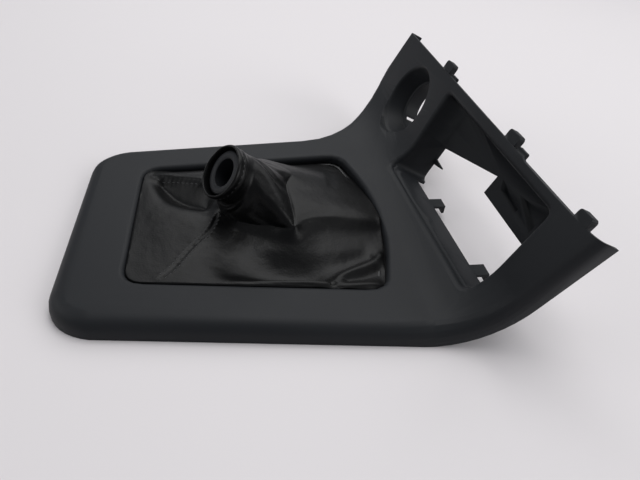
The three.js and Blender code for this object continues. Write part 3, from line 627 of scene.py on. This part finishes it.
    # how sharp the ridge and the tuck stand
    sharpness: float = 0.5
    ridge_width: float = 1.5
    ridge_fade: float = 45.0
    ridge_strength: float = 1.3
    tuck_width: float = 1.6
    # the neck's fullness beside the sharp crease along its front
    fullness: float = 2.8
    front_bearing: float = -0.45
    front_spread: float = 0.75
    foot_crease: float = 0.75
    foot_crease_rows: float = 1.7
    wrinkles: tuple[Wrinkle, ...] = (Wrinkle(0.32, 7, 0.4), Wrinkle(0.22, 11, 1.7), Wrinkle(0.14, 17, 2.9))
    # how far the wrinkles wander round the neck on their way up it, and how often
    wrinkle_drift: float = 0.25
    drift_turns: float = 5.0
    # how the wrinkles and the fullness rise and fade along the neck
    fade_reach: float = 1.02
    fade_shape: float = 0.8
    full_place: float = 0.75
    full_shape: float = 0.9
    # soft unevenness all over: its lumps, then how many times smaller the fine ones are and their height
    lump_size: float = 9.0
    lump_height: float = 0.16
    fine_lumps: float = 2.7
    fine_lump_height: float = 0.07
    # the stitches' spacing, length and radius, and how far they lie from their seam
    stitch_pitch: float = 3.6
    stitch_length: float = 2.5
    stitch_radius: float = 0.36
    stitch_offset: float = 2.2
    stitch_segments: int = 10
    stitch_rings: int = 7
    # how a stitch bows out in its middle, how its ends lie lower, and how deep it sinks in
    stitch_bow: float = 0.9
    stitch_ends: float = 0.35
    stitch_sink: float = 0.3
    hem_stitch_out: float = 0.12
    smooth_angle: float = 50.0
    # the leather needed flat, in metres
    flat: tuple[float, float] = (0.27, 0.24)

    def half(self, x: float, offset: float) -> float:
        """Gives the opening's half width at a place along it, with the offset added."""
        splay = (self.front_half - self.rear_half) / (self.front - self.rear)
        return self.rear_half + (x - self.rear) * splay + offset

    def bend(
        self, a: tuple[float, float], b: tuple[float, float], c: tuple[float, float],
    ) -> list[np.ndarray]:
        """Draws a rounded corner as a quadratic curve.

        Args:
            a: the place in plan where the curve starts.
            b: the place that it bends towards.
            c: the place where it ends.

        Returns:
            The curve's points.
        """
        p, q, r = np.array(a), np.array(b), np.array(c)
        steps = np.linspace(0, 1, self.corner_steps)
        return [(1 - t) ** 2 * p + 2 * t * (1 - t) * q + t * t * r for t in steps]

    @staticmethod
    def even(line: np.ndarray, count: int) -> np.ndarray:
        """Spaces points evenly along a closed line.

        Args:
            line: the line's points, one row each.
            count: the number of points wanted.

        Returns:
            The evenly spaced points.
        """
        closed = np.vstack([line, line[:1]])
        run = np.concatenate([[0.0], np.cumsum(np.linalg.norm(np.diff(closed, axis=0), axis=1))])
        at = np.linspace(0, run[-1], count, endpoint=False)
        return np.stack([np.interp(at, run, closed[:, k]) for k in range(closed.shape[1])], axis=1)

    def outline(self) -> np.ndarray:
        """Draws the line that the leather keeps to inside the opening, evenly spaced, counter-clockwise.

        Returns:
            One point in plan for each column of the leather.
        """
        offset = -self.lip_gap
        rear, front = self.rear - offset, self.front + offset
        rear_corner, front_corner = self.rear_corner + offset, self.front_corner + offset
        x0, x1, bowed = rear + rear_corner, front - front_corner, front + self.bow_start
        near0, near1, nose = self.half(x0, offset), self.half(x1, offset), self.half(front, offset)
        across, tail = nose - front_corner, self.half(rear, offset)
        points = [(x0, -near0)]
        points += self.bend((x1, -near1), (front, -nose), (bowed, -across))
        for share in np.linspace(-1, 1, self.bow_steps):
            points.append((bowed + (self.bow - self.bow_start) * (1 - share * share), share * across))
        points += self.bend((bowed, across), (front, nose), (x1, near1))
        points += self.bend((x0, near0), (rear, tail), (rear, tail - rear_corner))
        points += self.bend((rear, rear_corner - tail), (rear, -tail), (x0, -near0))
        return self.even(np.array(points), self.columns)

    def bearings(self, base: np.ndarray) -> np.ndarray:
        """Gives the bearing of each column's point from the middle of the neck's foot."""
        centre = self.foot.spaced(1.0).mean(axis=0)
        return np.arctan2(base[:, 1] - centre[1], base[:, 0] - centre[0])

    def relief(self) -> Relief:
        """Builds the skirt's height from all its fold lines.

        Returns:
            The height over the plan.
        """
        lines = [
            self.edge, self.foot, self.ridge, self.panel, self.far_bend, self.under_crest, self.drop,
            self.tuck, self.tuck_valley, self.facet, self.near_roll, self.behind_roll, self.corner_roll,
            self.seam, self.crest, self.valley, self.far_seam,
        ]
        points = np.vstack([line.spaced(self.line_step) for line in lines])
        return Relief(points, soft=self.line_soft, ease=self.line_ease)

    def frame_of_neck(self) -> tuple[np.ndarray, np.ndarray, np.ndarray]:
        """Works out the neck's own directions.

        Returns:
            The direction out of the mouth, and the directions over the neck and to its right.
        """
        axis = np.array(self.axis) / np.linalg.norm(self.axis)
        right = np.cross([0, 0, 1], axis)
        right /= np.linalg.norm(right)
        return axis, np.cross(axis, right), right

    def spokes(self, angle: np.ndarray) -> np.ndarray:
        """Gives the direction from the neck's axis to its wall at each bearing."""
        _, over, right = self.frame_of_neck()
        return np.cos(angle)[:, None] * over - np.sin(angle)[:, None] * right

    def clear_of_lip(self, z: np.ndarray) -> np.ndarray:
        """Gives how far outwards the leather may reach beside the opening's round lip.

        Args:
            z: the leather's heights.

        Returns:
            The reach at each height, measured outwards from the opening.
        """
        rise = np.clip(z - (self.plate - self.lip_round), 0.0, self.lip_round)
        round_out = self.lip_round - np.sqrt(self.lip_round ** 2 - rise ** 2)
        return np.maximum(round_out - self.lip_bite, -self.lip_gap)

    def edge_rows(self, base: np.ndarray, top: np.ndarray) -> list[np.ndarray]:
        """Runs the leather from its hem up the lip, following the lip's round where it stands high.

        Args:
            base: the outline that the leather keeps to, in plan.
            top: the leather's height at the outline, for each column.

        Returns:
            Rows of points from the hem to just under the outline's height.
        """
        run = np.roll(base, -1, axis=0) - np.roll(base, 1, axis=0)
        outward = np.column_stack([run[:, 1], -run[:, 0]]) / np.linalg.norm(run, axis=1)[:, None]
        hem = base + outward * (self.hem_reach + self.lip_gap)
        rows = [np.column_stack([hem, np.full(len(base), self.hem_top)])]
        for share in self.edge_shares:
            z = self.hem_top + (top - self.edge_drop - self.hem_top) * share
            out = self.clear_of_lip(z) + self.lip_gap
            rows.append(np.column_stack([base + outward * out[:, None], z]))
        return rows

    def feet(self, angle: np.ndarray, relief: Relief) -> np.ndarray:
        """Finds where each column of the leather passes from the skirt into the neck.

        Args:
            angle: each column's bearing round the neck.
            relief: the skirt's height.

        Returns:
            One point of the neck's foot for each column.
        """
        foot = self.foot.spaced(1.0)
        bearing = self.bearings(foot)
        order = np.argsort(bearing)
        bearing, foot = bearing[order], foot[order]
        bearing = np.concatenate([bearing - 2 * math.pi, bearing, bearing + 2 * math.pi])
        foot = np.vstack([foot, foot, foot])
        feet = np.stack([np.interp(angle, bearing, foot[:, k]) for k in range(3)], axis=1)
        feet[:, 2] = relief.height(feet[:, 0], feet[:, 1])
        return feet

    def surface(self, base: np.ndarray, angle: np.ndarray) -> np.ndarray:
        """Works out the leather's outer surface as rows of points from the hem to the mouth.

        Args:
            base: the outline that the leather keeps to, in plan.
            angle: each column's bearing round the neck.

        Returns:
            An array of rows by columns by three, in drawing millimetres.
        """
        relief = self.relief()
        feet = self.feet(angle, relief)
        rows = self.edge_rows(base, relief.height(base[:, 0], base[:, 1]))
        for t in np.linspace(0, 1, self.skirt_rows + 1):
            x = base[:, 0] + (feet[:, 0] - base[:, 0]) * t
            y = base[:, 1] + (feet[:, 1] - base[:, 1]) * t
            rows.append(np.column_stack([x, y, relief.height(x, y)]))
        axis, _, _ = self.frame_of_neck()
        throat = np.array(self.mouth) + self.neck_radius * self.spokes(angle) - self.straight * axis
        for t in np.linspace(0, 1, self.neck_rows + 1)[1:]:
            # the neck stands nearly straight and only flares close to its foot
            share = t + self.flare * t * (1 - t)
            rows.append(feet + (throat - feet) * share)
        return self.folded(np.array(rows), angle)

    def folded(self, grid: np.ndarray, angle: np.ndarray) -> np.ndarray:
        """Presses the seams, the puckers beside them and the soft wrinkles into the surface.

        Args:
            grid: the smooth surface.
            angle: each column's bearing round the neck.

        Returns:
            The surface with its fine relief, shaped as before.
        """
        skirt = len(grid) - self.neck_rows
        lift = self.skirt_lift(grid[:, :, 0], grid[:, :, 1])
        lift[skirt:] += self.neck_lift(angle)
        rows = np.arange(len(grid)) - (skirt - 1)
        crease = self.foot_crease * np.exp(-(rows / self.foot_crease_rows) ** 2)
        lift -= crease[:, None] * self.front_side(angle)[None]
        for r in range(skirt - self.skirt_rows, len(grid)):
            for c in range(self.columns):
                place = Vector(grid[r, c] / self.lump_size)
                lift[r, c] += self.lump_height * noise.noise(place)
                lift[r, c] += self.fine_lump_height * noise.noise(place * self.fine_lumps)
        return grid + self.outward(grid) * lift[:, :, None]

    @staticmethod
    def outward(grid: np.ndarray) -> np.ndarray:
        """Gives the direction out of a surface whose rows run round the boot.

        Args:
            grid: the surface's rows of points.

        Returns:
            A direction of length one for each point.
        """
        around = np.roll(grid, -1, axis=1) - np.roll(grid, 1, axis=1)
        normal = np.cross(around, np.gradient(grid, axis=0))
        return normal / np.maximum(np.linalg.norm(normal, axis=-1, keepdims=True), 1e-9)

    def skirt_lift(self, x: np.ndarray, y: np.ndarray) -> np.ndarray:
        """Works out how far the seams and sharp folds of the skirt stand out of its smooth surface.

        Args:
            x: the surface's forward positions.
            y: the surface's sideways positions.

        Returns:
            The lift along the surface's normal, shaped as the positions.
        """
        lift = np.zeros(x.shape)
        last = len(x) - self.neck_rows
        share = np.linspace(0, 1, self.skirt_rows + 1)
        # nothing stands out close to the edge and close to the neck
        calm = np.zeros((len(x), 1))
        at_edge = np.clip(share * self.edge_calm, 0, 1)
        at_neck = np.clip((1 - share) * self.neck_calm, 0, 1)
        calm[last - self.skirt_rows - 1:last, 0] = at_edge * at_neck
        for line, depth in ((self.seam, self.seam_depth), (self.far_seam, self.far_seam_depth)):
            side, along = line.nearest(x, y)
            pucker = 0.5 + 0.5 * np.cos(2 * math.pi * along / self.stitch_pitch)
            pressed = -depth * np.exp(-(side / self.seam_width) ** 2)
            beside = np.exp(-((np.abs(side) - self.swell_offset) / self.swell_width) ** 2)
            gathered = self.swell_least + self.swell_gain * pucker
            lift += calm * (pressed + self.swell * beside * gathered)
        top, along = self.ridge.nearest(x, y)
        fading = np.clip(self.ridge_strength - along / self.ridge_fade, 0, 1)
        lift += calm * self.sharpness * np.exp(-(top / self.ridge_width) ** 2) * fading
        crease, _ = self.tuck.nearest(x, y)
        lift += calm * self.sharpness * np.exp(-(crease / self.tuck_width) ** 2)
        pinch = np.hypot(x - self.pinch[0], y - self.pinch[1])
        lift -= self.pinch_depth * np.exp(-(pinch / self.pinch_width) ** 2)
        dent, _ = self.dent.nearest(x, y)
        lift -= calm * self.dent_depth * np.exp(-(dent / self.dent_width) ** 2)
        return lift

    def front_side(self, angle: np.ndarray) -> np.ndarray:
        """Gives 1 for the columns over the front of the neck, falling to 0 at its back."""
        away = (angle + math.pi) % (2 * math.pi) - math.pi - self.front_bearing
        return np.exp(-(away / self.front_spread) ** 4)

    def neck_lift(self, angle: np.ndarray) -> np.ndarray:
        """Works out the neck's soft wrinkles and its fullness up to the sharp crease along its front.

        Args:
            angle: each column's bearing round the neck.

        Returns:
            The lift along the surface's normal, for each of the neck's rows and columns.
        """
        t = np.linspace(0, 1, self.neck_rows + 1)[1:]
        drift = self.wrinkle_drift * np.sin(self.drift_turns * t)[:, None]
        waves = sum(w.height * np.sin(w.waves * (angle[None] + drift) + w.turn) for w in self.wrinkles)
        fade = np.sin(math.pi * np.clip(t * self.fade_reach, 0, 1)) ** self.fade_shape
        full = self.fullness * np.sin(math.pi * t ** self.full_place) ** self.full_shape
        return waves * fade[:, None] + full[:, None] * self.front_side(angle)[None]

    def rolled(self, angle: np.ndarray) -> list[np.ndarray]:
        """Rolls the mouth's hem, from the neck over the roll and down inside.

        Args:
            angle: each column's bearing round the neck.

        Returns:
            The rows of the rolled hem.
        """
        axis, _, _ = self.frame_of_neck()
        uneven = np.ones(len(angle))
        for wave in self.mouth_waves:
            uneven = uneven + wave.height * np.sin(wave.waves * angle + wave.turn)
        wall = uneven[:, None] * self.spokes(angle)
        return [np.array(self.mouth) + along * axis + radius * wall for along, radius in self.roll]

    def build(self, leather: bpy.types.Material, thread: bpy.types.Material) -> list[bpy.types.Object]:
        """Makes the boot as one closed sheet with its thickness, and its seams' stitches.

        Args:
            leather: the boot's finish.
            thread: the stitches' finish.

        Returns:
            The boot and the piece with its stitches.
        """
        base = self.outline()
        angle = self.bearings(base)
        outside = self.surface(base, angle)
        # the inside starts two rows above the hem and keeps every third row
        inside = (outside - self.outward(outside) * self.leather)[2:]
        under = outside[0].copy()
        under[:, 2] -= self.leather
        inner_edge = inside[0].copy()
        inner_edge[:, 2] = under[:, 2]
        grid = np.array([under, *outside, *self.rolled(angle), *inside[::-3], inner_edge])
        boot = piece_from_points("Boot", grid.reshape(-1, 3), self.closed_faces(*grid.shape[:2]))
        bpy.ops.object.shade_smooth_by_angle(angle=math.radians(self.smooth_angle))
        dress(boot, leather)
        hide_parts("gaiter")
        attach(boot, Body.ROOT.value)
        stitches = self.sewn(self.seam_stitches(outside) + self.hem_stitches(), thread)
        return [boot, stitches]

    @staticmethod
    def closed_faces(count: int, columns: int) -> list[tuple[int, ...]]:
        """Joins the points of a grid that is closed both ways.

        Args:
            count: the number of rows.
            columns: the number of points in a row.

        Returns:
            The faces' points.
        """
        faces = []
        for r in range(count):
            s = (r + 1) % count
            for c in range(columns):
                d = (c + 1) % columns
                faces.append((r * columns + c, r * columns + d, s * columns + d, s * columns + c))
        return faces

    def seam_stitches(self, outside: np.ndarray) -> list[Stitch]:
        """Places the rows of stitches beside the seams.

        Args:
            outside: the leather's outer surface.

        Returns:
            The stitches.
        """
        skirt = outside[: len(outside) - self.neck_rows].reshape(-1, 3)
        both, one = (-self.stitch_offset, self.stitch_offset), (-self.stitch_offset,)
        stitches = []
        for line, sides in ((self.seam, both), (self.far_seam, one)):
            path = line.spaced(self.stitch_pitch)[:, :2]
            for side in sides:
                for start, end in zip(path, path[1:]):
                    run = (end - start) / np.linalg.norm(end - start)
                    middle = (start + end) / 2 + side * np.array([-run[1], run[0]])
                    ends = []
                    for reach in (-0.5, 0.5):
                        spot = middle + run * reach * self.stitch_length
                        # the height is the mean of the leather's four nearest points
                        near = skirt[np.argsort(((skirt[:, :2] - spot) ** 2).sum(axis=1))[:4]]
                        ends.append(np.array([*spot, near[:, 2].mean()]))
                    stitches.append(Stitch(ends[0], ends[1], np.array([0.0, 0.0, 1.0])))
        return stitches

    def hem_stitches(self) -> list[Stitch]:
        """Places the stitches in the groove of the mouth's rolled hem.

        Returns:
            The stitches.
        """
        axis, _, _ = self.frame_of_neck()
        mouth = np.array(self.mouth)
        down, radius = self.roll[self.groove_row]
        around = int(round(2 * math.pi * radius / self.stitch_pitch))
        half_turn = 0.5 * self.stitch_length / radius
        stitches = []
        for k in range(around):
            middle = 2 * math.pi * (k + 0.5) / around
            spokes = self.spokes(np.array([middle - half_turn, middle + half_turn]))
            start, end = mouth + down * axis + (radius + self.hem_stitch_out) * spokes
            out = (start + end) / 2 - mouth
            stitches.append(Stitch(start, end, out / np.linalg.norm(out)))
        return stitches

    def sewn(self, stitches: list[Stitch], thread: bpy.types.Material) -> bpy.types.Object:
        """Makes all the stitches as one piece of thread.

        Args:
            stitches: the stitches' places.
            thread: their finish.

        Returns:
            The piece with the stitches.
        """
        deselect()
        bpy.ops.mesh.primitive_uv_sphere_add(
            segments=self.stitch_segments, ring_count=self.stitch_rings, radius=self.stitch_radius * MM)
        pattern = bpy.context.active_object
        points = np.array([v.co for v in pattern.data.vertices]) / MM
        loops = [tuple(p.vertices) for p in pattern.data.polygons]
        bpy.data.objects.remove(pattern)
        along = points[:, 2] / self.stitch_radius
        # a stitch bows out in its middle and sinks in where it enters the leather
        shape = self.stitch_bow * (1 - along ** 2) - self.stitch_ends
        bow = self.stitch_radius * shape - self.stitch_sink
        places, faces = [], []
        for number, stitch in enumerate(stitches):
            run = stitch.end - stitch.start
            length = np.linalg.norm(run)
            run = run / length
            side = np.cross(stitch.out, run)
            side /= np.linalg.norm(side)
            out = np.cross(run, side)
            middle = (stitch.start + stitch.end) / 2
            places.append(
                middle + (along * length / 2)[:, None] * run + points[:, :1] * side
                + (points[:, 1] + bow)[:, None] * out)
            faces += [tuple(number * len(points) + i for i in loop) for loop in loops]
        piece = piece_from_points("Seam_thread", np.vstack(places), faces)
        bpy.ops.object.shade_smooth()
        dress(piece, thread)
        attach(piece, Body.ROOT.value)
        return piece


@dataclass(frozen=True)
class Lamp:
    """A rectangular lamp: its place and size in metres and its power in watts."""

    name: str
    place: tuple[float, float, float]
    size: tuple[float, float]
    power: float


@dataclass
class Stage:
    """The pale table, the soft light and the camera."""

    # the camera's place in drawing millimetres, its turns in degrees and its lens in millimetres
    camera_at: tuple[float, float, float] = (97.9, -262.9, 210.4)
    yaw: float = 13.34
    pitch: float = 39.65
    roll: float = 6.34
    lens: float = 27.61
    sensor: float = 36.0
    table_size: float = 6.0
    table_colour: tuple[float, float, float] = (0.72, 0.69, 0.70)
    table_roughness: float = 0.6
    room_colour: tuple[float, float, float] = (0.9, 0.93, 1.0)
    room_light: float = 0.24
    # where all lamps point, in metres
    aim: tuple[float, float, float] = (0.0, 0.0, 0.02)
    lamps: tuple[Lamp, ...] = (
        Lamp("Window", (0.5, 1.1, 1.15), (2.6, 1.0), 13.0),
        Lamp("Side", (-1.5, 0.2, 0.8), (1.2, 0.8), 5.0),
        Lamp("Ceiling", (0.2, 0.4, 1.8), (1.3, 1.2), 15.0),
        Lamp("Front", (1.3, -0.9, 0.8), (1.2, 0.8), 10.0),
    )

    def build_table(self) -> bpy.types.Object:
        """Adds the table top that the part stands on.

        Returns:
            The table.
        """
        deselect()
        bpy.ops.mesh.primitive_plane_add(size=self.table_size, location=(0.0, 0.0, 0.0))
        table = bpy.context.active_object
        table.name = "Table"
        material = bpy.data.materials.new("Pale table")
        material.use_nodes = True
        shader = material.node_tree.nodes["Principled BSDF"]
        shader.inputs["Base Color"].default_value = (*self.table_colour, 1.0)
        shader.inputs["Roughness"].default_value = self.table_roughness
        table.data.materials.append(material)
        return table

    def build_light(self) -> None:
        """Adds the lamps and the room's even light."""
        for lamp in self.lamps:
            bpy.ops.object.light_add(type="AREA", location=lamp.place)
            light = bpy.context.active_object
            light.name = lamp.name
            light.data.shape = "RECTANGLE"
            light.data.size, light.data.size_y = lamp.size
            light.data.energy = lamp.power
            towards = Vector(self.aim) - Vector(lamp.place)
            light.rotation_euler = towards.to_track_quat("-Z", "Y").to_euler()
        world = bpy.data.worlds.new("Room")
        bpy.context.scene.world = world
        world.use_nodes = True
        background = world.node_tree.nodes["Background"]
        background.inputs["Color"].default_value = (*self.room_colour, 1.0)
        background.inputs["Strength"].default_value = self.room_light

    def build_camera(self) -> bpy.types.Object:
        """Adds the camera where the photograph was taken from.

        Returns:
            The camera.
        """
        yaw, pitch, roll = (math.radians(a) for a in (self.yaw, self.pitch, self.roll))
        level = Vector((math.sin(yaw), math.cos(yaw), 0.0))
        ahead = level * math.cos(pitch) - Vector((0.0, 0.0, math.sin(pitch)))
        right = Vector((math.cos(yaw), -math.sin(yaw), 0.0))
        up = right.cross(ahead)
        across, over = right, up
        right = across * math.cos(roll) + over * math.sin(roll)
        up = over * math.cos(roll) - across * math.sin(roll)
        data = bpy.data.cameras.new("Camera")
        data.sensor_width = self.sensor
        data.lens = self.lens
        camera = bpy.data.objects.new("Camera", data)
        bpy.context.scene.collection.objects.link(camera)
        turn = Matrix((right, up, -ahead)).transposed()
        camera.matrix_world = Matrix.Translation(Vector(to_frame(np.array(self.camera_at)))) @ turn.to_4x4()
        bpy.context.scene.camera = camera
        return camera


def main() -> None:
    """Builds the whole scene in order."""
    logging.basicConfig(level=logging.INFO, format="%(message)s")
    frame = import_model()
    deselect()
    bpy.context.scene.view_settings.view_transform = "Standard"
    groups = SurfaceGroups()
    stage = Stage()
    stage.build_camera()
    stage.build_table()
    stage.build_light()
    rigid = [
        (FramePiece("surround_panel", "Panel", Slot.PANEL), PANEL_FINISH.material(groups)),
        (FramePiece("gaiter_frame", "Retaining_frame", Slot.FRAME), FRAME_FINISH.material(groups)),
        (FramePiece("gaiter_collar", "Collar", Slot.COLLAR), COLLAR_FINISH.material(groups)),
    ]
    steel = SCREW_FINISH.material(groups)
    for number in range(1, SCREWS + 1):
        rigid.append((FramePiece(f"frame_screw_{number}", f"Screw_{number}", Slot.SCREW), steel))
    pieces = [piece.build(frame["nodes"], finish) for piece, finish in rigid]
    pieces += Boot().build(LEATHER_FINISH.material(groups), THREAD_FINISH.material(groups))
    for piece in pieces:
        log.info("built %s with %d faces", piece.name, len(piece.data.polygons))


if __name__ == "__main__":
    main()
